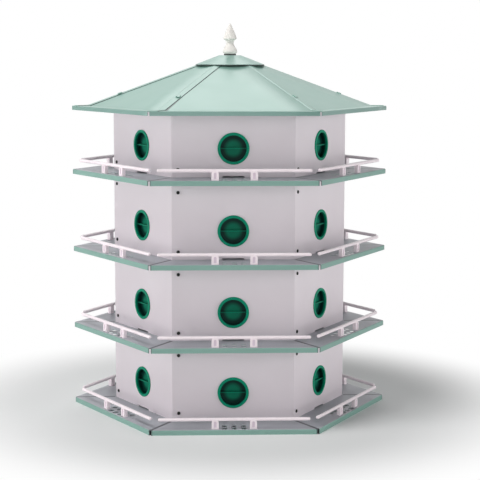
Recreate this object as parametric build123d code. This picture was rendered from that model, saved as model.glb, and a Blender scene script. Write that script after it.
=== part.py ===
from build123d import *
import os
from math import cos, radians, sin, tan

# A six-sided, four-storey aluminium house for purple martins: folded floor pans, folded wall
# panels and room dividers, a six-panel roof under a round cap, and a pull-out plug in each door.
# Millimetres. The origin is the middle of the foot plane, +Z is up and the front faces -Y.
# Every side piece is drawn for the front side and turned round the axis into its place.

# Overall form
sides = 6
storeys = 4
storey_pitch = 169.0
floor_across_corners = 685.8
wall_across_corners = 504.0
shaft_across_corners = 100.0

# Sheet metal
floor_sheet = 1.0
wall_sheet = 1.0
divider_sheet = 1.0
roof_sheet = 1.0
bend_inside_radius = 1.0
floor_lip_depth = 10.3
corner_crease_side = 0.6
corner_crease_margin = 4.0
eave_lip_depth = 9.0
lip_corner_cut = 2.8
fit_gap = 0.2

# Wall panels
door_diameter = 57.15
door_height = 58.7
wall_flange_width = 26.0
drain_notch_width = 45.0
drain_notch_height = 2.6
screw_inset = 13.0
screw_height_low = 16.0
screw_drop_high = 31.0

# Room dividers
divider_foot_width = 22.0

# Porch holes
porch_hole_diameter = 11.5
porch_hole_pitch = 19.5
porch_hole_columns = 5
porch_hole_rows = 2
porch_hole_edge = 11.5

# Porch rails
rail_length = 311.0
rail_diameter = 7.0
rail_height = 19.3
post_width = 14.6
post_thickness = 7.6
post_arch_rise = 0.6
post_groove_width = 5.4
post_groove_depth = 1.2
post_groove_margin = 3.0
tongue_thickness = 5.0
tongue_side_gap = 0.9
tongue_length = 6.0
tongue_barb = 0.7
tongue_barb_height = 2.5

# Roof
eave_height = 137.4
eave_flange_width = 28.5
roof_pitch = 23.0
roof_top_apothem = 36.0
hip_lap_width = 14.0
hip_lap_edge_gap = 4.0
hip_lap_joggle = 3.0
lock_tab_radius = 240.0
lock_tab_length = 10.0
lock_tab_reach = 7.0
lock_tab_inset = 4.6
lock_slot_gap = 0.4
lock_tab_lift = 1.2

# Roof cap, washer and finial
cap_diameter = 149.0
cap_sheet = 1.0
cap_rim_height = 1.6
cap_pitch = 21.0
cap_flat_diameter = 47.6
cap_seat_gap = 0.1
washer_diameter = 26.0
washer_thickness = 2.8
finial_height = 65.7
finial_base_radius = 12.6
finial_bulge_radius = 15.6
finial_waist_radius = 10.0
finial_shoulder_radius = 14.9
finial_tip_radius = 1.8
finial_bulge_share = 0.075
finial_waist_share = 0.27
finial_shoulder_share = 0.50
finial_spire_belly = 0.8
finial_hole_depth = 24.0

# Centre rod and pole socket
rod_diameter = 8.0
rod_hole_gap = 0.25
rod_thread_gap = 0.05
rod_tail = 3.0
rod_nut_across_flats = 13.0
rod_nut_height = 6.5
pole_bore_diameter = 51.8
pole_bore_length = 90.0
socket_wall = 3.0
socket_stop_width = 4.0
socket_head_room = 16.0
socket_top_thickness = 4.0
socket_flange_diameter = 83.0
socket_flange_thickness = 3.0
floor_bore_gap = 0.8
bolt_circle_diameter = 71.0
bolt_count = 4
bolt_start_angle = 45.0
bolt_diameter = 5.0
bolt_head_diameter = 9.0
bolt_head_height = 2.8
bolt_tail = 1.5
bolt_nut_across_flats = 8.0
bolt_nut_height = 4.0
bolt_hole_gap = 0.25

# Wall screws
screw_diameter = 3.5
screw_head_diameter = 7.0
screw_head_height = 2.2
screw_head_round = 1.3
screw_tail = 4.0
screw_tip_radius = 0.9
screw_point_length = 1.8
screw_hole_gap = 0.15

# Door plugs
plug_ring_diameter = 65.0
plug_ring_thickness = 2.2
plug_ring_round = 0.9
plug_wall = 1.3
plug_floor = 1.6
plug_depth = 11.3
plug_lead = 0.7
plug_hole_gap = 0.25
plug_web_thickness = 2.2
plug_web_recess = 4.8

# Derived angles and levels
side_angle = 360 / sides
half = radians(side_angle / 2)
full = radians(side_angle)
pitch = radians(roof_pitch)
floor_apothem = floor_across_corners / 2 * cos(half)
wall_apothem = wall_across_corners / 2 * cos(half)
wall_half_side = wall_apothem * tan(half)
floor_tops = [floor_lip_depth + storey_pitch * n for n in range(storeys)]
eave_top = floor_tops[-1] + eave_height
roof_break = floor_apothem - eave_flange_width
roof_rise = roof_sheet / cos(pitch)
door_radius = door_diameter / 2
rod_radius = rod_diameter / 2
sheet_stack = 2 * wall_sheet + divider_sheet
post_spread = (porch_hole_columns - 1) / 2 * porch_hole_pitch
point_tolerance = 1e-6


def roof_surface(apothem):
    """Height of a roof panel's outer face at a distance from the axis, square to the eave."""
    return eave_top + (roof_break - apothem) * tan(pitch)


def rounded_face(points, radii):
    """Flat face inside a closed outline, each corner rounded by its own radius, 0 for sharp."""
    count = len(points)
    starts = []
    ends = []
    edges = []
    for index, (point, radius) in enumerate(zip(points, radii)):
        corner = Vector(*point)
        before = (Vector(*points[index - 1]) - corner).normalized()
        after = (Vector(*points[(index + 1) % count]) - corner).normalized()
        if radius == 0:
            starts.append(corner)
            ends.append(corner)
            continue
        opening = radians(before.get_angle(after)) / 2
        run = radius / tan(opening)
        centre = corner + (before + after).normalized() * (radius / sin(opening))
        middle = centre + (corner - centre).normalized() * radius
        starts.append(corner + before * run)
        ends.append(corner + after * run)
        edges.append(ThreePointArc(starts[-1], middle, ends[-1]))
    for index in range(count):
        start = ends[index]
        end = starts[(index + 1) % count]
        if (end - start).length > point_tolerance:
            edges.append(Line(start, end))
    return make_face(edges)


def offset_points(points, distance):
    """The corners of an open line of points moved to its left by a distance, mitred."""
    moved = []
    last = len(points) - 1
    for index, point in enumerate(points):
        here = Vector(*point)
        before = Vector(*points[max(index - 1, 0)])
        after = Vector(*points[min(index + 1, last)])
        into = (here - before).normalized() if index > 0 else (after - here).normalized()
        out = (after - here).normalized() if index < last else into
        left_in = Vector(-into.Y, into.X)
        left_out = Vector(-out.Y, out.X)
        bisector = (left_in + left_out).normalized()
        place = here + bisector * (distance / bisector.dot(left_in))
        moved.append((place.X, place.Y))
    return moved


def folded_section(points, left, right, inside_radius):
    """Section of a sheet folded along a line of points, reaching left and right of that line."""
    sheet = left + right
    left_points = offset_points(points, left)
    right_points = offset_points(points, -right)
    left_radii = []
    right_radii = []
    for index in range(1, len(points) - 1):
        into = Vector(*points[index]) - Vector(*points[index - 1])
        out = Vector(*points[index + 1]) - Vector(*points[index])
        turns_left = into.X * out.Y - into.Y * out.X > 0
        left_radii.append(inside_radius if turns_left else inside_radius + sheet)
        right_radii.append(inside_radius + sheet if turns_left else inside_radius)
    radii = [0, *left_radii, 0, 0, *right_radii[::-1], 0]
    return rounded_face(left_points + right_points[::-1], radii)


def hexagon(apothem):
    """Flat plan of the house's outline at a distance from the axis to each side."""
    radius = apothem / cos(half)
    start = radians(-90) + half
    corners = [(radius * cos(start + full * n), radius * sin(start + full * n)) for n in range(sides)]
    return Polygon(*corners, align=None)


def round_bar(radius, low, high):
    """Cylinder on the axis between two heights."""
    return Pos(0, 0, low) * Cylinder(radius, high - low, align=(Align.CENTER, Align.CENTER, Align.MIN))


def turned(points, radii=None):
    """Solid of revolution about the axis, from an outline of radius and height."""
    face = rounded_face(points, radii or [0] * len(points))
    return revolve(Plane.XZ * face, Axis.Z)


def on_side(shape, side):
    """A shape drawn for the front side, turned to another side of the house."""
    return Rot(0, 0, side_angle * side) * shape


def facing_out(shape, apothem, across, height):
    """A shape turned about Z, laid so that its axis points out of the front side."""
    return Pos(across, -apothem, height) * Rot(90, 0, 0) * shape


def edge_lip(apothem, sheet, depth):
    """The turned-down edge of a pan or eave along the front side, its outer top at height 0."""
    outside = bend_inside_radius + sheet
    outline = [
        (-(apothem - outside), 0),
        (-apothem, 0),
        (-apothem, -depth),
        (-(apothem - sheet), -depth),
        (-(apothem - sheet), -sheet),
        (-(apothem - outside), -sheet),
    ]
    section = Plane.YZ * rounded_face(outline, [0, outside, 0, 0, bend_inside_radius, 0])
    length = 2 * apothem * tan(half) - 2 * lip_corner_cut
    return extrude(section, amount=length / 2, both=True)


def porch_hole_places():
    """Places of the holes in the front porch, across the side and out from the axis."""
    first = floor_apothem - porch_hole_edge
    return [
        (column * porch_hole_pitch - post_spread, -(first - row * porch_hole_pitch))
        for row in range(porch_hole_rows)
        for column in range(porch_hole_columns)
    ]


def corner_crease():
    """Cutter for the crease across a porch corner, from the wall's corner to near the lips."""
    start = wall_across_corners / 2 + corner_crease_margin
    end = floor_across_corners / 2 - lip_corner_cut - corner_crease_margin
    bar = Box(end - start, corner_crease_side, corner_crease_side)
    return Pos((start + end) / 2, 0, 0) * Rot(45, 0, 0) * bar


def floor_pan():
    """Folded floor pan, its top face at height 0: plate, lips, creases, porch holes and bore."""
    outside = bend_inside_radius + floor_sheet
    plate = extrude(hexagon(floor_apothem - outside), amount=-floor_sheet)
    plate -= [on_side(corner_crease(), n) for n in range(sides)]
    lip = edge_lip(floor_apothem, floor_sheet, floor_lip_depth)
    pan = plate + [on_side(lip, n) for n in range(sides)]
    holes = Sketch() + [
        on_side(Pos(x, y) * Circle(porch_hole_diameter / 2), n)
        for n in range(sides)
        for x, y in porch_hole_places()
    ]
    holes += Circle(pole_bore_diameter / 2 + floor_bore_gap)
    return pan - extrude(holes, amount=-floor_sheet)


def bolt_places():
    """Places of the pole socket's bolts round the axis."""
    return list(PolarLocations(bolt_circle_diameter / 2, bolt_count, start_angle=bolt_start_angle))


def bolt_holes(depth):
    """Clearance holes for the pole socket's bolts, from height 0 up or down by a depth."""
    plan = Sketch() + [place * Circle(bolt_diameter / 2 + bolt_hole_gap) for place in bolt_places()]
    return extrude(plan, amount=depth)


def screw_heights(height):
    """Heights of a wall panel's two screws above its floor, the upper one only where it fits."""
    heights = [screw_height_low, storey_pitch - screw_drop_high]
    return [z for z in heights if z + screw_head_diameter < height]


def screw_holes(height):
    """Clearance holes for one wall corner's screws, through the whole stack of sheets."""
    hole = round_bar(screw_diameter / 2 + screw_hole_gap, -sheet_stack - wall_sheet, wall_sheet)
    across = screw_inset - wall_half_side
    return [facing_out(hole, wall_apothem, across, z) for z in screw_heights(height)]


def wall_panel(height):
    """Folded wall panel for the front side: its right flange goes under the next panel."""
    bend = wall_half_side - wall_sheet / sin(full)
    flange_end = (bend + wall_flange_width * cos(full), -wall_apothem + wall_flange_width * sin(full))
    line = [(-wall_half_side, -wall_apothem), (bend, -wall_apothem), flange_end]
    panel = extrude(folded_section(line, wall_sheet, 0, bend_inside_radius), amount=height)
    door = facing_out(round_bar(door_radius, -2 * wall_sheet, wall_sheet), wall_apothem, 0, door_height)
    notch = Pos(0, -wall_apothem, 0) * Box(drain_notch_width, 4 * wall_sheet, 2 * drain_notch_height)
    cuts = screw_holes(height)
    return panel - [door, notch] - cuts - [on_side(cut, 1) for cut in cuts]


def room_divider(height):
    """Folded divider at the front side's left corner: wall foot, radial leg and shaft side."""
    foot_apothem = wall_apothem - 2 * wall_sheet - divider_sheet / 2
    corner = foot_apothem * tan(half)
    shaft = shaft_across_corners / 2
    line = [
        (divider_foot_width - corner, -foot_apothem),
        (-corner, -foot_apothem),
        (-shaft * sin(half), -shaft * cos(half)),
        (shaft * sin(half) - divider_sheet - fit_gap, -shaft * cos(half)),
    ]
    section = folded_section(line, divider_sheet / 2, divider_sheet / 2, bend_inside_radius)
    return extrude(section, amount=height) - screw_holes(height)


def attic_space():
    """The space under the roof panels, above the top floor, that walls and dividers may fill."""
    base = roof_surface(roof_break) - roof_rise - fit_gap - floor_tops[-1]
    foot = Pos(0, 0, base) * hexagon(roof_break)
    peak = Pos(0, 0, peak_height) * hexagon(roof_top_apothem)
    return extrude(hexagon(roof_break), amount=base) + loft([foot, peak], ruled=True)


def wall_screw():
    """Pan-head screw about Z, its head seated at height 0 and its shank below."""
    head = screw_head_diameter / 2
    shank = screw_diameter / 2
    length = sheet_stack + screw_tail
    outline = [
        (0, -length),
        (screw_tip_radius, -length),
        (shank, screw_point_length - length),
        (shank, 0),
        (head, 0),
        (head, screw_head_height),
        (0, screw_head_height),
    ]
    return turned(outline, [0, 0, 0, 0, 0, screw_head_round, 0])


def placed_screws(height):
    """The screws of one wall corner, seated on the wall panel's outer face."""
    across = screw_inset - wall_half_side
    return [facing_out(wall_screw(), wall_apothem, across, z) for z in screw_heights(height)]


def porch_rail():
    """Moulded rail for the front porch, standing on the pan: bar, two posts and their tongues."""
    radius = rail_diameter / 2
    bar = Pos(0, 0, rail_height) * Rot(0, 90, 0) * Cylinder(radius, rail_length - rail_diameter)
    end = rail_length / 2 - radius
    bar += [Pos(x, 0, rail_height) * Sphere(radius) for x in (-end, end)]
    top = rail_height + post_arch_rise
    width = post_width / 2
    arch = [(-width, 0), (width, 0), (width, top), (-width, top)]
    post = extrude(Plane.XZ * rounded_face(arch, [0, 0, width, width]), post_thickness / 2, both=True)
    inner = post_groove_width / 2
    groove_top = rail_height - radius
    groove_foot = post_groove_margin
    groove = [(-inner, groove_foot), (inner, groove_foot), (inner, groove_top), (-inner, groove_top)]
    cut = extrude(Plane.XZ * rounded_face(groove, [0, 0, inner, inner]), amount=post_groove_depth)
    post -= Pos(0, -(post_thickness / 2 - post_groove_depth), 0) * cut
    blade = porch_hole_diameter / 2 - tongue_side_gap
    barb = porch_hole_diameter / 2 + tongue_barb
    shoulder = -floor_sheet - fit_gap
    tongue = [
        (-blade, 0),
        (-blade, shoulder),
        (-barb, shoulder),
        (-blade, shoulder - tongue_barb_height),
        (-blade, -tongue_length),
        (blade, -tongue_length),
        (blade, shoulder - tongue_barb_height),
        (barb, shoulder),
        (blade, shoulder),
        (blade, 0),
    ]
    post += extrude(Plane.XZ * rounded_face(tongue, [0] * len(tongue)), tongue_thickness / 2, both=True)
    rail = bar + [Pos(x, 0, 0) * post for x in (-post_spread, post_spread)]
    return Pos(0, -(floor_apothem - porch_hole_edge), 0) * rail


def slope_slab(corners, lift):
    """Sheet on a roof slope: corners as plan place and slope apothem, raised by a lift."""
    points = [Vector(x, y, roof_surface(apothem) + lift) for x, y, apothem in corners]
    return extrude(Face(Wire.make_polygon(points)), amount=roof_rise, dir=(0, 0, -1))


def flat_sheet(corners, way):
    """Level roof sheet with corners given in plan, from height 0 up for 1 and down for -1."""
    plan = Polygon(*[corner[:2] for corner in corners], align=None)
    return extrude(plan, amount=roof_sheet, dir=(0, 0, way))


def own_plan(apothem, past_hip):
    """Plan place and slope apothem on the front slope, past its right hip by a distance."""
    return (apothem * tan(half) + past_hip, -apothem, apothem)


def next_plan(apothem, past_hip):
    """Plan place and slope apothem on the next slope, past the shared hip by a distance."""
    across = past_hip - apothem * tan(half)
    x = across * cos(full) + apothem * sin(full)
    y = across * sin(full) - apothem * cos(full)
    return (x, y, apothem)


def lapped(corner):
    """A corner given on the front slope, named by the next slope's apothem instead."""
    x, y, _ = corner
    return (x, y, x * sin(full) - y * cos(full))


def lock_plane():
    """Plane on the front slope at its left hip's locking tab: x down the hip, z off the slope."""
    apothem = lock_tab_radius * cos(half)
    across = lock_tab_inset / cos(half) - apothem * tan(half)
    down_hip = (-sin(half), -cos(half), -tan(pitch) * cos(half))
    origin = (across, -apothem, roof_surface(apothem))
    return Plane(origin=origin, x_dir=down_hip, z_dir=(0, -sin(pitch), cos(pitch)))


def lock_tab():
    """Tab that rises through the lap's slot on the left hip and is folded over it."""
    corner = (Align.CENTER, Align.MIN, Align.MIN)
    top = 2 * roof_sheet + lock_tab_lift
    root = roof_sheet / 2
    leg = Pos(0, 0, -root) * Box(lock_tab_length, roof_sheet, top + root, align=corner)
    fold = Pos(0, 0, top - roof_sheet) * Box(lock_tab_length, lock_tab_reach, roof_sheet, align=corner)
    return lock_plane() * (leg + fold)


def lock_slot():
    """Slot for the left hip's tab, cut through the sheet that laps the front slope."""
    corner = (Align.CENTER, Align.CENTER, Align.MIN)
    length = lock_tab_length + 2 * lock_slot_gap
    width = roof_sheet + 2 * lock_slot_gap
    slot = Box(length, width, 3 * roof_sheet, align=corner)
    return lock_plane() * Pos(0, roof_sheet / 2, 0) * slot


def roof_panel():
    """Folded roof panel for the front side: slope, eave flange and lip, and the lap on its right."""
    top = roof_top_apothem
    low = roof_break
    rim = floor_apothem - bend_inside_radius - roof_sheet
    lap = hip_lap_width / cos(half)
    lap_end = rim - hip_lap_edge_gap
    step = roof_rise / tan(pitch)
    past = step / sin(full)

    def mirrored(corner):
        return (-corner[0], corner[1], corner[2])

    slope = slope_slab(
        [
            mirrored(own_plan(top, -past - fit_gap)),
            own_plan(top, past),
            own_plan(low - step, past),
            own_plan(low, 0),
            mirrored(own_plan(low, -past - fit_gap)),
        ],
        0,
    )
    near_top = lapped(own_plan(top, past))
    near_low = lapped(own_plan(low - step, past))
    far_top = next_plan(near_top[2], lap)
    slope_lap = slope_slab([near_top, far_top, next_plan(low, lap), near_low], roof_rise)
    flange_plan = [
        mirrored(own_plan(low, -fit_gap)),
        own_plan(low, 0),
        own_plan(rim, 0),
        mirrored(own_plan(rim, -fit_gap)),
    ]
    lap_plan = [
        own_plan(low, -hip_lap_joggle),
        own_plan(lap_end, -hip_lap_joggle),
        own_plan(lap_end, 0),
        next_plan(lap_end, lap),
        next_plan(low, lap),
        own_plan(low, 0),
    ]
    flange = flat_sheet(flange_plan, -1)
    flange_lap = flat_sheet(lap_plan, 1)
    lip = edge_lip(floor_apothem, roof_sheet, eave_lip_depth)
    folded = slope + slope_lap + Pos(0, 0, eave_top) * (flange + lip + flange_lap)
    return folded + lock_tab() - on_side(lock_slot(), 1)


def cap_seat(radius):
    """Height of the lapped hips' ridge at a distance from the axis, where the cap rests."""
    past = roof_rise / tan(pitch) / sin(full)
    slope = tan(half)
    square = 1 + slope**2
    apothem = (-past * slope + (radius**2 * square - past**2) ** 0.5) / square
    return roof_surface(apothem)


def roof_cap():
    """Round cap sheet: short rim, shallow cone and flat top with the centre rod's hole."""
    line = [
        (cap_radius, cap_foot),
        (cap_radius, cap_foot + cap_rim_height),
        (cap_flat_diameter / 2, cap_top),
        (rod_radius + rod_hole_gap, cap_top),
    ]
    return revolve(Plane.XZ * folded_section(line, cap_sheet, 0, bend_inside_radius), Axis.Z)


def seal_washer():
    """Flat washer between the cap and the finial."""
    inner = rod_radius + rod_hole_gap
    outer = washer_diameter / 2
    return turned([(inner, cap_top), (outer, cap_top), (outer, finial_foot), (inner, finial_foot)])


def finial():
    """Turned finial: bulged base, waist, sharp shoulder and spire, with a blind hole for the rod."""
    bulge = (finial_bulge_radius, finial_foot + finial_height * finial_bulge_share)
    waist = (finial_waist_radius, finial_foot + finial_height * finial_waist_share)
    shoulder = (finial_shoulder_radius, finial_foot + finial_height * finial_shoulder_share)
    tip_level = finial_foot + finial_height - finial_tip_radius
    spire_level = (shoulder[1] + tip_level) / 2
    spire = ((finial_shoulder_radius + finial_tip_radius) / 2 + finial_spire_belly, spire_level)
    outline = [
        Line((0, finial_foot), (finial_base_radius, finial_foot)),
        Spline((finial_base_radius, finial_foot), bulge, waist, shoulder),
        ThreePointArc(shoulder, spire, (finial_tip_radius, tip_level)),
        Line((finial_tip_radius, tip_level), (0, finial_foot + finial_height)),
        Line((0, finial_foot + finial_height), (0, finial_foot)),
    ]
    body = revolve(Plane.XZ * make_face(outline), Axis.Z)
    return body - round_bar(rod_radius + rod_thread_gap, finial_foot, finial_foot + finial_hole_depth)


def pole_socket():
    """Pole socket on the bottom floor: bolted flange, bore with a stop, and a plate for the rod."""
    foot = floor_tops[0]
    bore = pole_bore_diameter / 2
    outer = bore + socket_wall
    chamber = bore - socket_stop_width
    flange = socket_flange_diameter / 2
    outline = [
        (bore, foot),
        (flange, foot),
        (flange, foot + socket_flange_thickness),
        (outer, foot + socket_flange_thickness),
        (outer, socket_top),
        (rod_radius + rod_hole_gap, socket_top),
        (rod_radius + rod_hole_gap, socket_ceiling),
        (chamber, socket_ceiling),
        (chamber, foot + pole_bore_length),
        (bore, foot + pole_bore_length),
    ]
    return turned(outline) - Pos(0, 0, foot) * bolt_holes(socket_flange_thickness)


def hex_nut(across_flats, height, bore):
    """Plain hexagon nut about Z, standing on height 0."""
    plan = RegularPolygon(across_flats / 2, 6, major_radius=False) - Circle(bore)
    return extrude(plan, amount=height)


def socket_bolt():
    """Socket bolt about Z: its head's top face at height 0, its shank above."""
    shank = bolt_diameter / 2
    head = bolt_head_diameter / 2
    length = floor_sheet + socket_flange_thickness + bolt_nut_height + bolt_tail
    outline = [
        (0, -bolt_head_height),
        (head, -bolt_head_height),
        (head, 0),
        (shank, 0),
        (shank, length),
        (0, length),
    ]
    return turned(outline)


def door_plug():
    """Door plug about Z, its ring seated at height 0: ring, recessed cup and finger web."""
    cup = door_radius - plug_hole_gap
    inner = cup - plug_wall
    ring = plug_ring_diameter / 2
    outline = [
        (0, -plug_depth),
        (cup - plug_lead, -plug_depth),
        (cup, plug_lead - plug_depth),
        (cup, 0),
        (ring, 0),
        (ring, plug_ring_thickness),
        (inner, plug_ring_thickness),
        (inner, plug_floor - plug_depth),
        (0, plug_floor - plug_depth),
    ]
    shell = turned(outline, [0, 0, 0, 0, 0, plug_ring_round, 0, 0, 0])
    low = plug_floor / 2 - plug_depth
    height = plug_ring_thickness - plug_web_recess - low
    return shell + Pos(0, 0, low + height / 2) * Box(2 * inner + plug_wall, plug_web_thickness, height)


def around(shape, height=0):
    """One copy of a front-side shape on every side of the house, lifted to a height."""
    return [Pos(0, 0, height) * on_side(shape, n) for n in range(sides)]


def export(name, *solids):
    """Write the solids of one node to its file."""
    export_step(Compound(children=list(solids)), f"parts/{name}.step")


# Levels of the cap, finial, rod and socket
cap_radius = cap_diameter / 2
cap_foot = cap_seat(cap_radius - cap_sheet) + cap_seat_gap
cap_top = cap_foot + cap_rim_height + (cap_radius - cap_flat_diameter / 2) * tan(radians(cap_pitch))
finial_foot = cap_top + washer_thickness
socket_ceiling = floor_tops[0] + pole_bore_length + socket_head_room
socket_top = socket_ceiling + socket_top_thickness
rod_foot = socket_ceiling - rod_nut_height - rod_tail
rod_head = finial_foot + finial_hole_depth - rod_tail
top_wall_height = roof_surface(wall_apothem) - roof_rise - fit_gap - floor_tops[-1]
peak_height = roof_surface(roof_top_apothem) - roof_rise - fit_gap - floor_tops[-1]
storey_height = storey_pitch - floor_sheet

os.makedirs("parts", exist_ok=True)

# Storeys, from the bottom up
pan = floor_pan()
rail = porch_rail()
plug = facing_out(door_plug(), wall_apothem, 0, door_height)
full_panel = wall_panel(storey_height)
full_divider = room_divider(storey_height)
top_panel = wall_panel(top_wall_height)
top_divider = room_divider(peak_height) & attic_space()
for n, level in enumerate(floor_tops):
    number = n + 1
    is_top = number == storeys
    height = top_wall_height if is_top else storey_height
    storey_pan = pan - bolt_holes(-floor_sheet) if n == 0 else pan
    export(f"floor_pan_{number}", Pos(0, 0, level) * storey_pan)
    export(f"wall_panels_{number}", *around(top_panel if is_top else full_panel, level))
    export(f"room_dividers_{number}", *around(top_divider if is_top else full_divider, level))
    export(f"porch_rails_{number}", *around(rail, level))
    corner_screws = placed_screws(height)
    export(f"wall_screws_{number}", *[placed for screw in corner_screws for placed in around(screw, level)])
    for side, placed in enumerate(around(plug, level)):
        export(f"door_plug_{number}_{side + 1}", placed)

# Roof
for side, placed in enumerate(around(roof_panel())):
    export(f"roof_panel_{side + 1}", placed)
export("roof_cap", roof_cap())
export("seal_washer", seal_washer())
export("finial", finial())

# Centre rod and pole socket
export("centre_rod", round_bar(rod_radius, rod_foot, rod_head))
rod_nut = hex_nut(rod_nut_across_flats, rod_nut_height, rod_radius + rod_thread_gap)
export("rod_nut", Pos(0, 0, socket_ceiling - rod_nut_height) * rod_nut)
export("pole_socket", pole_socket())
bolt_seat = Pos(0, 0, floor_tops[0] - floor_sheet)
nut_seat = Pos(0, 0, floor_tops[0] + socket_flange_thickness)
nut = hex_nut(bolt_nut_across_flats, bolt_nut_height, bolt_diameter / 2 + rod_thread_gap)
export("socket_bolts", *[bolt_seat * place * socket_bolt() for place in bolt_places()])
export("socket_nuts", *[nut_seat * place * nut for place in bolt_places()])
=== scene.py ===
import logging
import math
from dataclasses import dataclass, field
from enum import Enum

import bmesh
import bpy
import numpy as np
from mathutils import Euler, Matrix, Vector


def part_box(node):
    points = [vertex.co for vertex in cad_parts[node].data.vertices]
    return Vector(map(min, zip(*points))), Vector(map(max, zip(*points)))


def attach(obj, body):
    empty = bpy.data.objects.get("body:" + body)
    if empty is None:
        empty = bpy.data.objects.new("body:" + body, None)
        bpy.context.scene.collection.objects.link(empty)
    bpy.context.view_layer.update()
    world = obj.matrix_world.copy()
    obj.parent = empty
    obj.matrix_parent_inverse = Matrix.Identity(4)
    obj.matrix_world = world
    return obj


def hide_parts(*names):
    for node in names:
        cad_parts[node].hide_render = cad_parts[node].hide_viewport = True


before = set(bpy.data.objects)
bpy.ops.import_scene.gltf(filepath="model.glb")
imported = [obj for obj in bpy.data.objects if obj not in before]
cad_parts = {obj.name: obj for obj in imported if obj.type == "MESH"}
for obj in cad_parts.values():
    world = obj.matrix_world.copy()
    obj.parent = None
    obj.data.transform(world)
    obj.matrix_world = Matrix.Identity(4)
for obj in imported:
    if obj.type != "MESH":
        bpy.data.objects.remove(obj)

# Looks of a six-sided, four-storey sheet-metal house for purple martins, in metres, +Z up, with
# its front facing -Y. Every part keeps the shape it comes with and gets its finish here, and the
# screws and bolts are replaced by turned ones with threads and driver recesses.

LOG = logging.getLogger("martin_house")
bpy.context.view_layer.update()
MM = 0.001
SIDES = 6
STOREYS = 4
SECTOR = 2 * math.pi / SIDES
# Range that cloudy noise mostly keeps to
NOISE_RANGE = (0.3, 0.7)
# Heights of the eave's lip and of the shadow line painted under the cap's rim, and how far the holes stay
# inside the lips
EAVE_LIP = 8.7 * MM
PAINTED_SHADOW_LINE = 1.3 * MM
HOLE_MARGIN = 5 * MM
# Points closer than this are merged into one
MERGE_DISTANCE = 0.001 * MM
# Socket that a node hands its result out of
Output = bpy.types.NodeSocket


def linear(colour: str) -> tuple[float, float, float, float]:
    """Turn an sRGB hex colour into linear light.

    Args:
        colour: six hex digits with a leading hash.

    Returns:
        Red, green, blue and an alpha of 1, each from 0 to 1.
    """
    shares = [int(colour[place:place + 2], 16) / 255 for place in (1, 3, 5)]
    lit = [share / 12.92 if share <= 0.04045 else ((share + 0.055) / 1.055) ** 2.4 for share in shares]
    return (*lit, 1.0)


def per_metre(size_mm: float) -> float:
    """Texture scale, in repeats to the metre, of a pattern whose features are a size in mm apart."""
    return 1000 / size_mm


def add_node(
    tree: bpy.types.NodeTree,
    kind: str,
    inputs: dict | list | None = None,
    output: int | str = 0,
    **settings: object,
) -> Output:
    """Add a node with its settings and links.

    Args:
        tree: node tree that gets the node.
        kind: Blender's name of the node type.
        inputs: what its sockets get, each a value or the output that feeds it, as a list for the
            first sockets or as a dictionary by name or number.
        output: name or number of the output that is wanted.
        settings: attributes of the node and their values.

    Returns:
        That output of the new node.
    """
    node = tree.nodes.new(kind)
    for name, value in settings.items():
        setattr(node, name, value)
    for name, value in inputs.items() if isinstance(inputs, dict) else enumerate(inputs or []):
        if isinstance(value, Output):
            tree.links.new(value, node.inputs[name])
        else:
            node.inputs[name].default_value = value
    return node.outputs[output]


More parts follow.
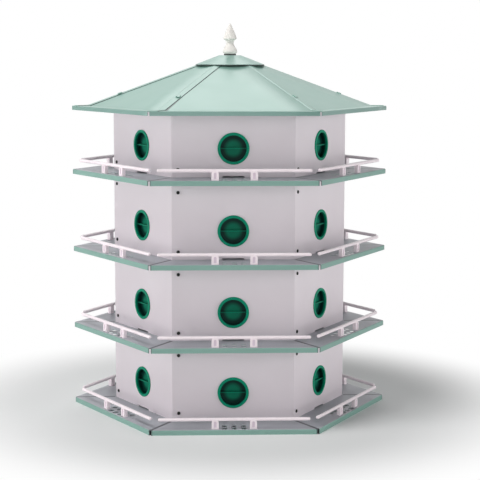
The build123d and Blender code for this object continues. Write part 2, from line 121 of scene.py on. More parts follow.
@dataclass(frozen=True)
class Skin:
    """The nodes of one material while its finish is built up.

    Attributes:
        tree: node tree of the material.
        shader: its principled shader.
        place: output that gives the place on the object, in metres.
    """

    tree: bpy.types.NodeTree
    shader: bpy.types.Node
    place: Output

    def noise(
        self, size_mm: float, octaves: float = 2.0, stretch: tuple[float, float, float] = (1.0, 1.0, 1.0)
    ) -> Output:
        """Cloudy noise with features of a real size.

        Args:
            size_mm: size of the largest features.
            octaves: how many finer layers it has.
            stretch: scale along each axis, small to draw the noise out along it.

        Returns:
            Output of the noise's value, from 0 to 1.
        """
        turned = add_node(self.tree, "ShaderNodeMapping", {"Vector": self.place, "Scale": stretch})
        inputs = {"Vector": turned, "Scale": per_metre(size_mm), "Detail": octaves}
        return add_node(self.tree, "ShaderNodeTexNoise", inputs, "Fac")

    def from_corners(self) -> tuple[Output, Output, Output]:
        """Distances of the place from the axis and from the corner lines beside it, seen from above.

        The corner lines run out from the axis every 60 degrees from +X. With t as the angle past
        the line before, the distances are the radius times sin t and times sin of 60 degrees less t.

        Returns:
            Outputs of the radius and of the distances from the lines before and after, in metres.
        """
        flat = add_node(self.tree, "ShaderNodeVectorMath", [self.place, (1, 1, 0)], operation="MULTIPLY")
        radius = add_node(self.tree, "ShaderNodeVectorMath", [flat], "Value", operation="LENGTH")
        x, y = [add_node(self.tree, "ShaderNodeSeparateXYZ", [self.place], axis) for axis in "XY"]
        angle = add_node(self.tree, "ShaderNodeMath", [y, x], operation="ARCTAN2")
        past = add_node(self.tree, "ShaderNodeMath", [angle, SECTOR], operation="FLOORED_MODULO")
        left = add_node(self.tree, "ShaderNodeMath", [SECTOR, past], operation="SUBTRACT")
        distances = []
        for turn in (past, left):
            sine = add_node(self.tree, "ShaderNodeMath", [turn], operation="SINE")
            distances.append(add_node(self.tree, "ShaderNodeMath", [radius, sine], operation="MULTIPLY"))
        return radius, *distances

    def square_to_side(self, vector: Output) -> Output:
        """Length of a vector square to the side of the house that it points to.

        It is the largest of the sizes of its dot products with the normals of three neighbouring
        sides.

        Args:
            vector: output of a place or a direction.

        Returns:
            Output of the length, in metres for a place and from 0 to 1 for a direction.
        """
        tree = self.tree
        out = None
        for side in range(SIDES // 2):
            angle = (side + 0.5) * SECTOR
            normal = (math.cos(angle), math.sin(angle), 0)
            dot = add_node(tree, "ShaderNodeVectorMath", [vector, normal], "Value", operation="DOT_PRODUCT")
            size = add_node(tree, "ShaderNodeMath", [dot], operation="ABSOLUTE")
            out = size if out is None else add_node(tree, "ShaderNodeMath", [out, size], operation="MAXIMUM")
        return out

    def overlay(self, share: Output, other: str) -> None:
        """Lay another colour over the base colour that the shader has so far.

        Args:
            share: output from 0, the colour below, to 1, the other.
            other: sRGB hex colour at 1.
        """
        base = self.shader.inputs["Base Color"]
        below = base.links[0].from_socket if base.is_linked else tuple(base.default_value)
        inputs = {0: share, 6: below, 7: linear(other)}
        self.tree.links.new(add_node(self.tree, "ShaderNodeMix", inputs, 2, data_type="RGBA"), base)

    def vary_gloss(
        self, pattern: Output, least: float, most: float, span: tuple[float, float] = NOISE_RANGE
    ) -> None:
        """Let the roughness go up and down with a pattern.

        Args:
            pattern: output of the pattern.
            least: share of the finish's roughness at the span's start.
            most: share of it at the span's end.
            span: values of the pattern between which it changes.
        """
        socket = self.shader.inputs["Roughness"]
        middle = socket.default_value
        rough = add_node(self.tree, "ShaderNodeMapRange", [pattern, *span, middle * least, middle * most])
        self.tree.links.new(rough, socket)

    def relief(self, layers: list[tuple[Output, float]], coat: bool = False) -> None:
        """Raise and sink the surface by several heights laid on one another.

        Args:
            layers: each an output from 0 to 1 and its full height in millimetres.
            coat: whether the clear layer follows the relief too.
        """
        normal = None
        for height, deep_mm in layers:
            inputs = {"Height": height, "Strength": 1.0, "Distance": deep_mm * MM}
            if normal is not None:
                inputs["Normal"] = normal
            normal = add_node(self.tree, "ShaderNodeBump", inputs)
        for name in ("Normal", "Coat Normal") if coat else ("Normal",):
            self.tree.links.new(normal, self.shader.inputs[name])


@dataclass(frozen=True)
class Finish:
    """A surface as it is made: a name, a colour and how its shader is built.

    Attributes:
        name: the real material and its process.
        colour: sRGB hex colour of the surface.
        roughness: middle roughness of the surface.
        ior: index of refraction, at the shader's default for a metal.
        metallic: 1 for bare metal, otherwise 0.
        coat: weight of the clear layer on top.
        coat_roughness: roughness of that layer.
    """

    name: str
    colour: str
    roughness: float
    ior: float = 1.5
    metallic: float = 0.0
    coat: float = 0.0
    coat_roughness: float = 0.05

    def material(self) -> bpy.types.Material:
        """The finish's material, made once and then shared.

        Returns:
            The material of this finish's name.
        """
        found = bpy.data.materials.get(self.name)
        if found:
            return found
        made = bpy.data.materials.new(self.name)
        made.use_nodes = True
        shader = made.node_tree.nodes["Principled BSDF"]
        for socket, value in (
            ("Base Color", linear(self.colour)),
            ("Roughness", self.roughness),
            ("IOR", self.ior),
            ("Metallic", self.metallic),
            ("Coat Weight", self.coat),
            ("Coat Roughness", self.coat_roughness),
        ):
            shader.inputs[socket].default_value = value
        place = add_node(made.node_tree, "ShaderNodeTexCoord", output="Object")
        self.detail(Skin(made.node_tree, shader, place))
        return made

    def detail(self, skin: Skin) -> None:
        """Add this finish's own pattern, relief and variation.

        Args:
            skin: nodes of the material.
        """
        raise NotImplementedError


@dataclass(frozen=True)
class BakedEnamel(Finish):
    """Polyester enamel rolled and baked on aluminium sheet: an even gloss, a faint orange peel, and
    the slow waves of thin sheet that bend its reflections.

    Attributes:
        drift: sRGB hex colour that the enamel drifts to where it is thinner.
        peel_mm: size of the orange peel, really 1 to 2 mm and drawn coarser so that it shows.
        peel_height_mm: height of the peel.
        wave_mm: length of the sheet's waves.
        wave_height_mm: height of those waves.
    """

    drift: str = "#FFFFFF"
    peel_mm: float = 4.0
    peel_height_mm: float = 0.002
    wave_mm: float = 130.0
    wave_height_mm: float = 0.5

    def detail(self, skin: Skin) -> None:
        """Add the peel, the sheet's waves, and slow changes of colour and gloss.

        Args:
            skin: nodes of the material.
        """
        tint = skin.noise(self.wave_mm, 3.0)
        skin.overlay(add_node(skin.tree, "ShaderNodeMapRange", [tint, *NOISE_RANGE]), self.drift)
        skin.vary_gloss(skin.noise(self.wave_mm / 2), 0.95, 1.06)
        waves = skin.noise(self.wave_mm, 0.0)
        peel = skin.noise(self.peel_mm, 1.0)
        layers = [(waves, self.wave_height_mm), (peel, self.peel_height_mm)]
        skin.relief(layers + self.folds(skin), coat=True)

    def folds(self, skin: Skin) -> list[tuple[Output, float]]:
        """Further heights of a sheet's folds, none on a plain sheet."""
        return []


@dataclass(frozen=True)
class LappedEnamel(BakedEnamel):
    """The roof panels' enamel: each sheet bows softly towards the hip where it laps the next one,
    a shadow line is painted along the lap's edge on the sheet below, widening towards the eave,
    and the eave's turned-down lip is painted darker as shade.

    Attributes:
        fold_mm: distance from the hip at which the bow starts.
        fold_height_mm: how far the bow falls at the hip.
        lap_mm: distance from the hip to the lap's edge.
        painted_shade: sRGB hex colour of the shadow line painted along the lap's edge.
        shade_mm: width of that painted shadow near the cap.
        shade_low_mm: its width at the eave.
        shade_start: share of the way to the eave from which it widens.
        shade_fade: shares of its width between which it fades out.
        eave_mm: distance from the axis to the eave.
        lip: sRGB hex colour painted on the eave's turned-down lip as shade.
        lip_height: height of the lip's top above the floor, in metres.
    """

    fold_mm: float = 55.0
    fold_height_mm: float = 8.0
    lap_mm: float = 13.9
    painted_shade: str = "#3C514D"
    shade_mm: float = 1.5
    shade_low_mm: float = 6.0
    shade_start: float = 0.75
    shade_fade: tuple[float, float] = (0.6, 1.2)
    eave_mm: float = 310.0
    lip: str = "#749990"
    lip_height: float = 0.0

    def folds(self, skin: Skin) -> list[tuple[Output, float]]:
        """Height of the bow: full less the square of the share of the way to the hip after.

        Args:
            skin: nodes of the material.

        Returns:
            Output of the height, with its size in millimetres.
        """
        _, _, after = skin.from_corners()
        near = add_node(skin.tree, "ShaderNodeMapRange", [after, 0.0, self.fold_mm * MM, 1.0, 0.0])
        square = add_node(skin.tree, "ShaderNodeMath", [near, near], operation="MULTIPLY")
        bow = add_node(skin.tree, "ShaderNodeMath", [1.0, square], operation="SUBTRACT")
        return [(bow, self.fold_height_mm)]

    def detail(self, skin: Skin) -> None:
        """Add the enamel's own detail, the painted shadow along the lap's edge and the lip's painted shade.

        Args:
            skin: nodes of the material.
        """
        super().detail(skin)
        # Painted shadow: a dark line along the lap's edge on the sheet below, widening towards the eave
        radius, before, _ = skin.from_corners()
        eave = self.eave_mm * MM
        widths = [self.shade_mm * MM, self.shade_low_mm * MM]
        wide = add_node(skin.tree, "ShaderNodeMapRange", [radius, self.shade_start * eave, eave, *widths])
        past = add_node(skin.tree, "ShaderNodeMath", [before, self.lap_mm * MM], operation="SUBTRACT")
        far = add_node(skin.tree, "ShaderNodeMath", [past, wide], operation="DIVIDE")
        starts = add_node(skin.tree, "ShaderNodeMath", [far, 0.0], operation="GREATER_THAN")
        fades = add_node(skin.tree, "ShaderNodeMapRange", [far, *self.shade_fade, 1.0, 0.0])
        skin.overlay(add_node(skin.tree, "ShaderNodeMath", [starts, fades], operation="MULTIPLY"), self.painted_shade)
        # Painted shade: the eave's lip, below its top, is darker
        height = add_node(skin.tree, "ShaderNodeSeparateXYZ", [skin.place], "Z")
        below = add_node(skin.tree, "ShaderNodeMath", [height, self.lip_height], operation="LESS_THAN")
        skin.overlay(below, self.lip)


@dataclass(frozen=True)
class CreasedEnamel(BakedEnamel):
    """The floor pans' enamel: a mauve-grey reflection of the walls is painted on its top, the same
    colour is painted at half strength on the edges of its holes as shade, and a shadow line is
    painted in the creases that cross the porch at its corners.

    Attributes:
        reflection_and_shade: sRGB hex colour of the reflection painted on the top and the shade painted on
            the holes' edges.
        reflection_share: how much of that colour the top takes.
        reflection_up: upward shares of a face's direction between which that painted colour grows to full.
        edge_up: upward share that a face within the lips gains, so that a hole's edge takes half of that
            colour.
        inside: distance from the house's axis, square to a side, that holds all holes, in metres.
        painted_shade: sRGB hex colour of the shade painted in the creases.
        shade_share: how much of that colour a crease takes.
        shade_mm: distance from the middle of a crease at which the painted shade ends.
        shade_full: share of that distance up to which it is full.
        wall_mm: distance from the axis to a wall corner, where the creases start.
    """

    reflection_and_shade: str = "#B0AEB7"
    reflection_share: float = 0.9
    reflection_up: tuple[float, float] = (0.85, 0.95)
    edge_up: float = 0.9
    inside: float = 0.0
    painted_shade: str = "#4A4A50"
    shade_share: float = 0.9
    shade_mm: float = 5.0
    shade_full: float = 0.4
    wall_mm: float = 254.0

    def detail(self, skin: Skin) -> None:
        """Add the enamel's own detail, the painted reflection on the top, and the painted shade in the holes
        and near the corner lines.

        A top faces up, so its normal's height is 1, and a hole's edge faces sideways, so it is 0.

        Args:
            skin: nodes of the material.
        """
        super().detail(skin)
        # Painted reflection of the walls on faces that look up, and painted shade at half strength on the
        # holes' edges
        facing = add_node(skin.tree, "ShaderNodeNewGeometry", output="True Normal")
        upward = add_node(skin.tree, "ShaderNodeSeparateXYZ", [facing], "Z")
        out = skin.square_to_side(skin.place)
        within = add_node(skin.tree, "ShaderNodeMath", [out, self.inside], operation="LESS_THAN")
        inputs = [within, self.edge_up, upward]
        raised = add_node(skin.tree, "ShaderNodeMath", inputs, operation="MULTIPLY_ADD")
        painted_light_mask = add_node(skin.tree, "ShaderNodeMapRange", [raised, *self.reflection_up, 0.0, self.reflection_share])
        skin.overlay(painted_light_mask, self.reflection_and_shade)
        # Painted shade: a dark line along the corner creases, outside the walls
        radius, before, after = skin.from_corners()
        near = add_node(skin.tree, "ShaderNodeMath", [before, after], operation="MINIMUM")
        edge = self.shade_mm * MM
        inputs = [near, self.shade_full * edge, edge, self.shade_share, 0.0]
        line = add_node(skin.tree, "ShaderNodeMapRange", inputs)
        outside = add_node(skin.tree, "ShaderNodeMath", [radius, self.wall_mm * MM], operation="GREATER_THAN")
        skin.overlay(add_node(skin.tree, "ShaderNodeMath", [line, outside], operation="MULTIPLY"), self.painted_shade)


@dataclass(frozen=True)
class RimShadowEnamel(BakedEnamel):
    """The roof cap's enamel, with a dark shadow line painted along the foot of its rim.

    Attributes:
        painted_shadow: sRGB hex colour of the painted shadow line.
        shadow_height: height above the floor up to which it shows, in metres.
        shadow_fade: height over which it fades out, in metres.
    """

    painted_shadow: str = "#26302E"
    shadow_height: float = 0.0
    shadow_fade: float = 0.4 * MM

    def detail(self, skin: Skin) -> None:
        """Add the enamel's own detail, then the painted shadow below its height.

        Args:
            skin: nodes of the material.
        """
        super().detail(skin)
        # Painted shadow under the cap's rim: full below its height, fading out above it
        height = add_node(skin.tree, "ShaderNodeSeparateXYZ", [skin.place], "Z")
        top = self.shadow_height
        rim_shadow = add_node(skin.tree, "ShaderNodeMapRange", [height, top, top + self.shadow_fade, 1.0, 0.0])
        skin.overlay(rim_shadow, self.painted_shadow)


@dataclass(frozen=True)
class RolledAluminium(Finish):
    """Bare mill-finish aluminium sheet: fine streaks along the rolling direction.

    Attributes:
        streak: sRGB hex colour of the darker streaks.
        streak_mm: width of the streaks, really about 0.1 mm and drawn coarser so that they show.
        streak_height_mm: depth of the streaks.
        stretch: scale of the streaks along each axis, small up the sheet.
    """

    streak: str = "#A9ABAE"
    streak_mm: float = 1.6
    streak_height_mm: float = 0.01
    stretch: tuple[float, float, float] = (1.0, 1.0, 0.02)

    def detail(self, skin: Skin) -> None:
        """Add streaks that run up the sheet, in height, colour and gloss.

        Args:
            skin: nodes of the material.
        """
        streaks = skin.noise(self.streak_mm, 2.0, self.stretch)
        skin.overlay(add_node(skin.tree, "ShaderNodeMapRange", [streaks, *NOISE_RANGE]), self.streak)
        skin.vary_gloss(streaks, 0.8, 1.25)
        skin.relief([(streaks, self.streak_height_mm)])


@dataclass(frozen=True)
class MouldedPlastic(Finish):
    """Injection-moulded plastic: gloss with the mould's fine grain, flow clouds and a little sink.

    Attributes:
        flow: sRGB hex colour of the flow clouds.
        grain_mm: size of the mould's grain, really about 0.3 mm and drawn coarser so that it shows.
        grain_height_mm: depth of that grain.
        sink_mm: length of the slow sink waves.
        sink_height_mm: depth of those waves.
    """

    flow: str = "#FFFFFF"
    grain_mm: float = 1.2
    grain_height_mm: float = 0.006
    sink_mm: float = 18.0
    sink_height_mm: float = 0.05

    def detail(self, skin: Skin) -> None:
        """Add grain, sink and flow clouds.

        Args:
            skin: nodes of the material.
        """
        clouds = skin.noise(self.sink_mm, 4.0)
        skin.overlay(add_node(skin.tree, "ShaderNodeMapRange", [clouds, *NOISE_RANGE]), self.flow)
        grain = skin.noise(self.grain_mm, 1.0)
        skin.vary_gloss(grain, 0.8, 1.3)
        sink = skin.noise(self.sink_mm, 0.0)
        skin.relief([(sink, self.sink_height_mm), (grain, self.grain_height_mm)])


@dataclass(frozen=True)
class GroovedPlastic(MouldedPlastic):
    """The porch rails' moulded plastic, with mauve shade painted on the floors of the posts'
    grooves, which face straight out.

    Attributes:
        tint: sRGB hex colour of the painted shade.
        front: distance from the house's axis to the posts' front faces, in metres.
        depth_mm: distance of the grooves' floors behind those faces.
        slack_mm: how far from that depth the painted shade still lies.
        straight: least share of its direction that a face has straight out to carry the painted shade.
    """

    tint: str = "#E2D2DE"
    front: float = 0.0
    depth_mm: float = 1.2
    slack_mm: float = 0.3
    straight: float = 0.98

    def detail(self, skin: Skin) -> None:
        """Add the plastic's own detail, then the painted shade in the grooves.

        Args:
            skin: nodes of the material.
        """
        super().detail(skin)
        # Painted shade: mauve on the grooves' floors, which face straight out
        out = skin.square_to_side(skin.place)
        facing = skin.square_to_side(add_node(skin.tree, "ShaderNodeNewGeometry", output="True Normal"))
        level = [out, self.front - self.depth_mm * MM, self.slack_mm * MM]
        sunk = add_node(skin.tree, "ShaderNodeMath", level, operation="COMPARE")
        outward = add_node(skin.tree, "ShaderNodeMath", [facing, self.straight], operation="GREATER_THAN")
        skin.overlay(add_node(skin.tree, "ShaderNodeMath", [sunk, outward], operation="MULTIPLY"), self.tint)


@dataclass(frozen=True)
class CuppedPlastic(MouldedPlastic):
    """The door plugs' moulded plastic, with shade painted darker down in the cup behind the wall's
    face and darkest round the foot of the cup's side.

    Attributes:
        cup_shade: sRGB hex colour of the middle of the cup's floor, painted darker as shade.
        foot_shade: sRGB hex colour of the darker shade painted round the cup's foot.
        unshaded_mm: distance from the door's axis at which that painted shade starts.
        shaded_mm: distance from the door's axis at which it is full.
        door_height: height of the lowest doors' axes above the floor, in metres.
        storey: height of a storey, in metres.
        face_mm: distance from the house's axis at which both painted shades start.
        floor_mm: distance from the house's axis at which they are full.
    """

    cup_shade: str = "#000000"
    foot_shade: str = "#000000"
    unshaded_mm: float = 12.0
    shaded_mm: float = 20.5
    door_height: float = 0.0
    storey: float = 1.0
    face_mm: float = 218.0
    floor_mm: float = 214.0

    def detail(self, skin: Skin) -> None:
        """Add the plastic's own detail, then the shade painted down in the cup and round its foot.

        A place's distance from the door's axis is the root of its squared radius, plus the square
        of its height from the nearest door's axis, less its squared distance square to its side.

        Args:
            skin: nodes of the material.
        """
        super().detail(skin)
        # Painted shade: darker down in the cup behind the wall's face
        out = skin.square_to_side(skin.place)
        inside = add_node(skin.tree, "ShaderNodeMapRange", [out, self.face_mm * MM, self.floor_mm * MM])
        skin.overlay(inside, self.cup_shade)
        # Painted shade: darkest round the foot of the cup's side
        radius, _, _ = skin.from_corners()
        height = add_node(skin.tree, "ShaderNodeSeparateXYZ", [skin.place], "Z")
        above = add_node(skin.tree, "ShaderNodeMath", [height, self.door_height], operation="SUBTRACT")
        rise = add_node(skin.tree, "ShaderNodeMath", [above, self.storey / 2], operation="PINGPONG")
        rise_squared, out_squared = [
            add_node(skin.tree, "ShaderNodeMath", [size, size], operation="MULTIPLY") for size in (rise, out)
        ]
        both = add_node(skin.tree, "ShaderNodeMath", [radius, radius, rise_squared], operation="MULTIPLY_ADD")
        left = add_node(skin.tree, "ShaderNodeMath", [both, out_squared], operation="SUBTRACT")
        far = add_node(skin.tree, "ShaderNodeMath", [left], operation="SQRT")
        ring = add_node(skin.tree, "ShaderNodeMapRange", [far, self.unshaded_mm * MM, self.shaded_mm * MM])
        skin.overlay(add_node(skin.tree, "ShaderNodeMath", [ring, inside], operation="MULTIPLY"), self.foot_shade)


@dataclass(frozen=True)
class PlatedSteel(Finish):
    """Zinc-plated steel: crystal patches that differ a little in tone and gloss.

    Attributes:
        patch: sRGB hex colour of the other patches.
        patch_mm: size of the patches, really too fine to see and drawn coarser so that they show.
        grain_height_mm: height of the grain on them.
    """

    patch: str = "#FFFFFF"
    patch_mm: float = 1.5
    grain_height_mm: float = 0.006

    def detail(self, skin: Skin) -> None:
        """Add the plate's patches and a grain a third as large.

        Args:
            skin: nodes of the material.
        """
        inputs = {"Vector": skin.place, "Scale": per_metre(self.patch_mm)}
        cells = add_node(skin.tree, "ShaderNodeTexVoronoi", inputs, "Color")
        grey = add_node(skin.tree, "ShaderNodeRGBToBW", [cells])
        skin.overlay(grey, self.patch)
        skin.vary_gloss(grey, 0.7, 1.3, (0.0, 1.0))
        skin.relief([(skin.noise(self.patch_mm / 3), self.grain_height_mm)])


@dataclass(frozen=True)
class CastMetal(Finish):
    """Sand-cast aluminium: a dull grey skin with the sand's grit.

    Attributes:
        hollow: sRGB hex colour of the hollows between the grains.
        grit_mm: size of the grit, really about 0.5 mm and drawn coarser so that it shows.
        grit_height_mm: height of the grit.
    """

    hollow: str = "#7E8185"
    grit_mm: float = 1.4
    grit_height_mm: float = 0.12

    def detail(self, skin: Skin) -> None:
        """Add the grit and darker hollows between the grains.

        Args:
            skin: nodes of the material.
        """
        grit = skin.noise(self.grit_mm, 4.0)
        skin.overlay(add_node(skin.tree, "ShaderNodeMapRange", [grit, *NOISE_RANGE, 1.0, 0.0]), self.hollow)
        skin.relief([(grit, self.grit_height_mm)])


@dataclass(frozen=True)
class DieCutRubber(Finish):
    """Black rubber cut from sheet: matt, with a fine calendered grain.

    Attributes:
        bloom: sRGB hex colour of the grey bloom.
        grain_mm: size of the grain, really about 0.2 mm and drawn coarser so that it shows.
        grain_height_mm: height of the grain.
    """

    bloom: str = "#3A3A3C"
    grain_mm: float = 0.8
    grain_height_mm: float = 0.02

    def detail(self, skin: Skin) -> None:
        """Add the grain and a little grey bloom.

        Args:
            skin: nodes of the material.
        """
        grain = skin.noise(self.grain_mm, 3.0)
        skin.overlay(add_node(skin.tree, "ShaderNodeMapRange", [grain, *NOISE_RANGE]), self.bloom)
        skin.relief([(grain, self.grain_height_mm)])


LOWEST_PLUG, NEXT_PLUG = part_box("door_plug_1_1"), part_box("door_plug_2_1")
# Smooth green gloss with soft broad reflections, painted shadow lines at the laps and painted shade on the
# eave's lip
ROOF_ENAMEL = LappedEnamel(
    "green_polyester_enamel_on_roof_sheet", "#92BAAE", 0.30, drift="#8CB4A8",
    wave_height_mm=0.3, lip_height=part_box("roof_panel_1")[0].z + EAVE_LIP,
)
# The same gloss on a smaller sheet that waves less, over a painted shadow line at the rim's foot
CAP_ENAMEL = RimShadowEnamel(
    "green_polyester_enamel_on_cap_sheet", "#93B9AE", 0.30, drift="#8DB3A8",
    wave_height_mm=0.1, shadow_height=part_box("roof_cap")[0].z + PAINTED_SHADOW_LINE,
)
# Green lips with little shine, so an IOR below enamel's usual 1.5, round a porch painted with a
# mauve-grey reflection on top, shade in its holes and shade lines in its corner creases
FLOOR_ENAMEL = CreasedEnamel(
    "green_polyester_enamel_on_floor_sheet", "#89ADA3", 0.34, ior=1.25, drift="#83A79D",
    wave_height_mm=0.2, inside=-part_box("floor_pan_1")[0].y - HOLE_MARGIN,
)
# Near-white with a faint pink cast and a soft sheen
WALL_ENAMEL = BakedEnamel(
    "white_polyester_enamel_on_wall_sheet", "#EBE1E7", 0.42, coat=0.1, coat_roughness=0.25, drift="#E7DDE3",
    wave_height_mm=0.3,
)
# Bright grey metal with fine upright streaks
DIVIDER_ALUMINIUM = RolledAluminium("mill_finish_rolled_aluminium", "#C4C6C9", 0.34, metallic=1.0)
# Clean white gloss, whiter than the walls, with mauve shade painted in the posts' grooves
RAIL_PLASTIC = GroovedPlastic(
    "white_moulded_polypropylene_rail", "#FCF0F5", 0.30, ior=1.49, flow="#F8ECF1",
    front=-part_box("porch_rails_1")[0].y,
)
# Warm white with a soft sheen
FINIAL_PLASTIC = MouldedPlastic(
    "white_moulded_polypropylene_finial", "#F4F0EB", 0.52, ior=1.45, flow="#EFEAE5"
)
# Deep green with little shine, so an IOR below plastic's usual 1.5, with shade painted in the cup
PLUG_PLASTIC = CuppedPlastic(
    "green_moulded_polypropylene_plug", "#049271", 0.42, ior=1.2, flow="#048A6A", sink_mm=12.0,
    cup_shade="#047A5E", foot_shade="#03302A", door_height=(LOWEST_PLUG[0].z + LOWEST_PLUG[1].z) / 2,
    storey=NEXT_PLUG[0].z - LOWEST_PLUG[0].z,
)
# Bright bluish metal with faint patches
BRIGHT_ZINC = PlatedSteel("bright_zinc_plated_steel", "#C2C5CA", 0.30, metallic=1.0, patch="#AEB2B8")
# Near-black satin, so the screws read as dark dots
BLACK_ZINC = PlatedSteel("black_zinc_plated_steel", "#26262A", 0.42, metallic=0.7, patch="#1C1C20")
# Dull grey metal, rough with grit
CAST_ALUMINIUM = CastMetal("sand_cast_aluminium", "#A5A8AC", 0.48, metallic=1.0)
# Matt black line between finial and cap
WASHER_RUBBER = DieCutRubber("die_cut_black_rubber", "#2B2B2D", 0.7, ior=1.52)


class Drive(Enum):
    """Driver recess of a screw or bolt head."""

    CROSS = "cross"
    HEX_SOCKET = "hex socket"


def give_finish(node: str, finish: Finish) -> None:
    """Give a part that keeps its shape a finish in place of its plain one.

    Args:
        node: name of the part.
        finish: its new finish.
    """
    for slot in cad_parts[node].material_slots:
        slot.material = finish.material()
    LOG.info("%s is finished in %s", node, finish.name)


def grid_faces(rows: int, columns: int) -> np.ndarray:
    """Quads of a surface whose grid closes on itself round its columns.

    Args:
        rows: points along the profile.
        columns: points round the axis.

    Returns:
        One row of four point numbers for each quad, facing out when the profile runs down.
    """
    along, around = np.meshgrid(np.arange(rows - 1), np.arange(columns), indexing="ij")
    beside = (around + 1) % columns
    quads = (
        along * columns + around,
        (along + 1) * columns + around,
        (along + 1) * columns + beside,
        along * columns + beside,
    )
    return np.stack(quads, axis=-1).reshape(-1, 4)


def mesh_object(name: str, points: np.ndarray, faces: np.ndarray, finish: Finish) -> bpy.types.Object:
    """Make an object at the origin from arrays of points and faces.

    Args:
        name: name of the piece.
        points: one row of x, y and z for each point, in metres.
        faces: one row of point numbers for each face.
        finish: finish of the piece.

    Returns:
        The object, smooth-shaded and in the scene.
    """
    mesh = bpy.data.meshes.new(name)
    mesh.from_pydata(points.tolist(), [], faces.tolist())
    mesh.polygons.foreach_set("use_smooth", np.ones(len(faces), bool))
    mesh.materials.append(finish.material())
    mesh.update()
    piece = bpy.data.objects.new(name, mesh)
    bpy.context.scene.collection.objects.link(piece)
    return piece


@dataclass
class Fastener:
    """A turned screw or bolt about Z: its head stands on height 0 and its shank hangs below.

    Attributes:
        head_radius: radius of the head.
        head_height: height of the head.
        dome: share of the height that the head's top rises to its middle.
        shank_radius: outer radius of the thread.
        length: length under the head.
        pitch: distance from one thread to the next.
        depth: depth of the thread.
        drive: driver recess in the head.
        recess_width: width of a cross's arms, or of a socket between its flats.
        recess_reach: radius that a cross's arms reach.
        recess_depth: depth of the recess.
        columns: points round the axis.
        head_rows: points from the head's middle to the edge of its top.
        shank_rows: points down the shank.
        top_share: share of the head's radius that its top reaches.
        crowding: power that brings the top's rows together at its edge.
        side: share of the head's radius and of its shoulder's height at each row down its side.
    """

    head_radius: float
    head_height: float
    dome: float
    shank_radius: float
    length: float
    pitch: float
    depth: float
    drive: Drive
    recess_width: float
    recess_reach: float
    recess_depth: float
    columns: int = 32
    head_rows: int = 12
    shank_rows: int = 22
    top_share: float = 0.9
    crowding: float = 0.8
    side: tuple[tuple[float, float], ...] = ((0.97, 0.95), (1.0, 0.8), (1.0, 0.3), (1.0, 0.0))

    def recess(self, x: np.ndarray, y: np.ndarray) -> np.ndarray:
        """Share of the recess's depth at places on the head: 1 well inside it and 0 outside.

        Args:
            x: places across the head.
            y: places along the head.

        Returns:
            The share, falling from 1 to 0 over a tenth of the recess's width.
        """
        edge = 0.1 * self.recess_width
        half = self.recess_width / 2
        if self.drive is Drive.CROSS:
            arm_x = np.minimum(half - np.abs(y), self.recess_reach - np.abs(x))
            arm_y = np.minimum(half - np.abs(x), self.recess_reach - np.abs(y))
            inside = np.maximum(arm_x, arm_y)
        else:
            flats = np.radians([30, 90, 150])[:, None, None]
            inside = half - np.abs(x * np.cos(flats) + y * np.sin(flats)).max(axis=0)
        return np.clip(inside / edge, 0, 1)

    def points(self) -> np.ndarray:
        """Points of the fastener's surface on a grid of profile by angle.

        The head's top is a shallow dome, height less dome times radius squared, less the recess.
        Below it the profile runs down the head's side and in under it. The shank's radius is the
        thread's outer radius less its depth times a triangle wave of height over pitch and angle,
        and falls as a square root over the last shank radius.

        Returns:
            One row of x, y and z for each point, profile by profile.
        """
        angle = np.linspace(0, 2 * np.pi, self.columns, endpoint=False)[None, :]
        share = np.linspace(0, 1, self.head_rows)[:, None] ** self.crowding
        radius = self.head_radius * self.top_share * share
        top_x, top_y = radius * np.cos(angle), radius * np.sin(angle)
        rise = self.head_height * (1 - self.dome * (radius / self.head_radius) ** 2)
        top_z = rise - self.recess_depth * self.recess(top_x, top_y)
        shoulder = self.head_height * (1 - self.dome)
        out, up = np.array(self.side).T[:, :, None]
        side_radius, side_z = self.head_radius * out, shoulder * up
        depth = np.linspace(0, self.length, self.shank_rows)[:, None]
        turn = depth / self.pitch - angle / (2 * np.pi)
        wave = 2 * np.abs(turn - np.floor(turn) - 0.5)
        taper = np.clip((self.length - depth) / self.shank_radius, 0, 1) ** 0.5
        shank_radius = (self.shank_radius - self.depth * (1 - wave)) * taper
        shank_radius[0] = self.shank_radius
        ring = np.ones_like(angle)
        x = np.concatenate([top_x, side_radius * np.cos(angle), shank_radius * np.cos(angle)])
        y = np.concatenate([top_y, side_radius * np.sin(angle), shank_radius * np.sin(angle)])
        z = np.concatenate([top_z, side_z * ring, -depth * ring])
        return np.stack([x, y, z], axis=-1).reshape(-1, 3)

    def build(self, name: str, places: list[Matrix], finish: Finish) -> bpy.types.Object:
        """Make one piece of a whole set of these fasteners.

        Args:
            name: name of the piece.
            places: where each fastener stands, as a turn and a shift.
            finish: finish of the set.

        Returns:
            The piece.
        """
        points = self.points()
        faces = grid_faces(len(points) // self.columns, self.columns)
        turns = np.array([np.array(place.to_3x3()) for place in places])
        shifts = np.array([place.to_translation()[:] for place in places])
        placed = np.einsum("kij,pj->kpi", turns, points) + shifts[:, None, :]
        steps = (np.arange(len(places)) * len(points))[:, None, None]
        every_face = (faces[None] + steps).reshape(-1, 4)
        piece = mesh_object(name, placed.reshape(-1, 3), every_face, finish)
        close_poles(piece)
        return piece


def close_poles(piece: bpy.types.Object) -> None:
    """Merge the points that lie on each other at a surface's poles and seams.

    Args:
        piece: piece to close.
    """
    shell = bmesh.new()
    shell.from_mesh(piece.data)
    bmesh.ops.remove_doubles(shell, verts=shell.verts, dist=MERGE_DISTANCE)
    bmesh.ops.dissolve_degenerate(shell, edges=shell.edges, dist=MERGE_DISTANCE)
    bmesh.ops.recalc_face_normals(shell, faces=shell.faces)
    shell.to_mesh(piece.data)
    shell.free()


